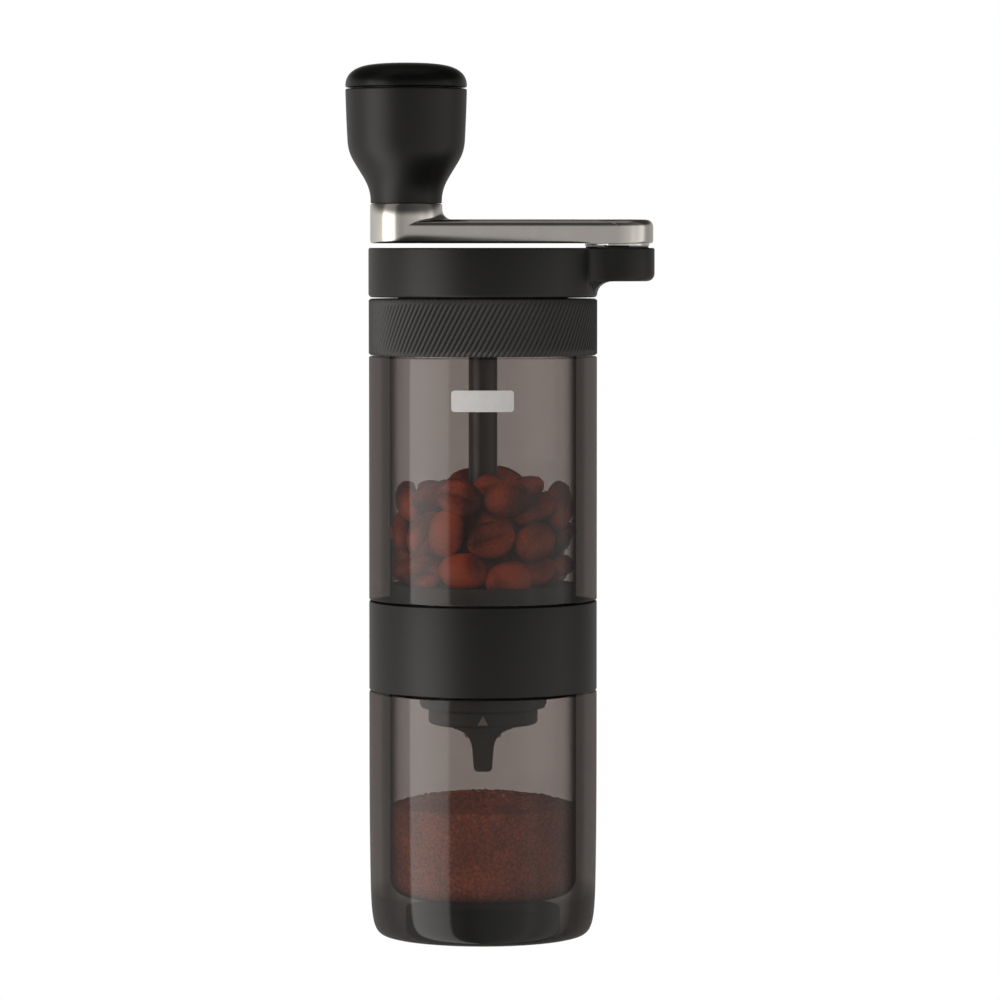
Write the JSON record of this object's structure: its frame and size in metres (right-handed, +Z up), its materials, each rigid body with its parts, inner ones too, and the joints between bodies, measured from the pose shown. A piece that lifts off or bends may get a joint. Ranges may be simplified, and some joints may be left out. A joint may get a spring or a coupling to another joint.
{
  "type": "hand crank coffee grinder",
  "caption": "Slim upright hand coffee grinder: folding steel crank arm with tapered knob, see-through bean hopper, conical burr, stepped grind dial and see-through grounds cup.",
  "frame": {"origin": "centre of the foot's flat underside, on the surface that the grinder stands on", "axes": "+Z up the main axis through cup, shaft and lid; +X towards the crank's pivot on the lid's side tab; -Y towards the viewer, where the mark on the hopper is"},
  "size_m": [0.0677, 0.0502, 0.1918],
  "materials": {
    "black_plastic": "fine satin texture",
    "gloss_black": "smooth, semi-gloss",
    "smoked_plastic": "clear, lightly smoked and glossy",
    "silicone": "matt",
    "burr_steel": "machined",
    "cast_steel": "fine bead-blasted satin",
    "steel": "turned",
    "polished_steel": "polished",
    "brass": "turned",
    "nylon": "natural, moulded"
  },
  "bodies": {
    "housing": {"middle_collar": "black_plastic", "hopper_tube": "smoked_plastic", "hopper_gasket": "silicone", "knurled_ring": "black_plastic", "upper_spider": "black_plastic", "lower_spider": "black_plastic", "burr_housing": "black_plastic", "burr_retainer": "black_plastic", "ring_burr": "burr_steel", "spider_screw_1": "steel", "spider_screw_2": "steel", "spider_screw_3": "steel", "upper_bearing_outer_race": "steel", "lower_bearing_outer_race": "steel"},
    "drive_shaft": {"drive_shaft": "steel", "shaft_clip": "steel", "burr_spring": "steel", "upper_bearing_inner_race": "steel", "lower_bearing_inner_race": "steel"},
    "bearing_cages": {"upper_bearing_cage": "steel", "lower_bearing_cage": "steel"},
    "crank_lid": {"lid_shell": "black_plastic", "lid_liner": "black_plastic", "drive_socket": "steel", "liner_screw_1": "steel", "liner_screw_2": "steel", "liner_screw_3": "steel", "pivot_bush": "nylon", "pivot_washer": "polished_steel", "wave_washer": "steel"},
    "crank_arm": {"crank_arm": "cast_steel", "pivot_screw": "steel", "knob_axle": "steel", "knob_clip": "steel"},
    "knob": {"knob_shell": "black_plastic", "knob_cap": "gloss_black", "lower_knob_bush": "nylon", "upper_knob_bush": "nylon"},
    "inner_burr": {"cone_burr": "burr_steel", "index_ring": "black_plastic"},
    "adjuster_dial": {"adjust_dial": "black_plastic", "dial_nut": "brass", "detent_ball": "steel", "detent_spring": "steel"},
    "catch_cup": {"grounds_cup": "smoked_plastic", "cup_seal": "silicone", "base_foot": "silicone"}
  },
  "joints": [
    {"name": "crank_turn", "type": "hinge", "parent": "housing", "child": "drive_shaft", "pos_m": [0, 0, 0.1], "axis": [0, 0, -1], "continuous": true},
    {"name": "cage_orbit", "type": "hinge", "parent": "housing", "child": "bearing_cages", "pos_m": [0, 0, 0.1], "axis": [0, 0, -1], "continuous": true},
    {"name": "lid_lift", "type": "slide", "parent": "drive_shaft", "child": "crank_lid", "axis": [0, 0, 1], "range_m": [0, 0.03]},
    {"name": "arm_fold", "type": "hinge", "parent": "crank_lid", "child": "crank_arm", "pos_m": [0.0294, 0, 0.1524], "axis": [0, 0, -1], "range_deg": [0, 180]},
    {"name": "knob_spin", "type": "hinge", "parent": "crank_arm", "child": "knob", "pos_m": [-0.0168, 0, 0.17], "axis": [0, 0, 1], "continuous": true},
    {"name": "burr_shift", "type": "slide", "parent": "drive_shaft", "child": "inner_burr", "axis": [0, 0, -1], "range_m": [-0.0002, 0.0012], "deforming": ["burr_spring"]},
    {"name": "dial_turn", "type": "hinge", "parent": "inner_burr", "child": "adjuster_dial", "pos_m": [0, 0, 0.045], "axis": [0, 0, 1], "range_deg": [-90, 540]},
    {"name": "cup_pull", "type": "slide", "parent": "housing", "child": "catch_cup", "axis": [0, 0, -1], "range_m": [0, 0.06]}
  ],
  "couplings": [
    {"joint": "cage_orbit", "follows": "crank_turn", "ratio": 0.4216},
    {"joint": "dial_turn", "follows": "burr_shift", "rad_per_m": 7854}
  ]
}
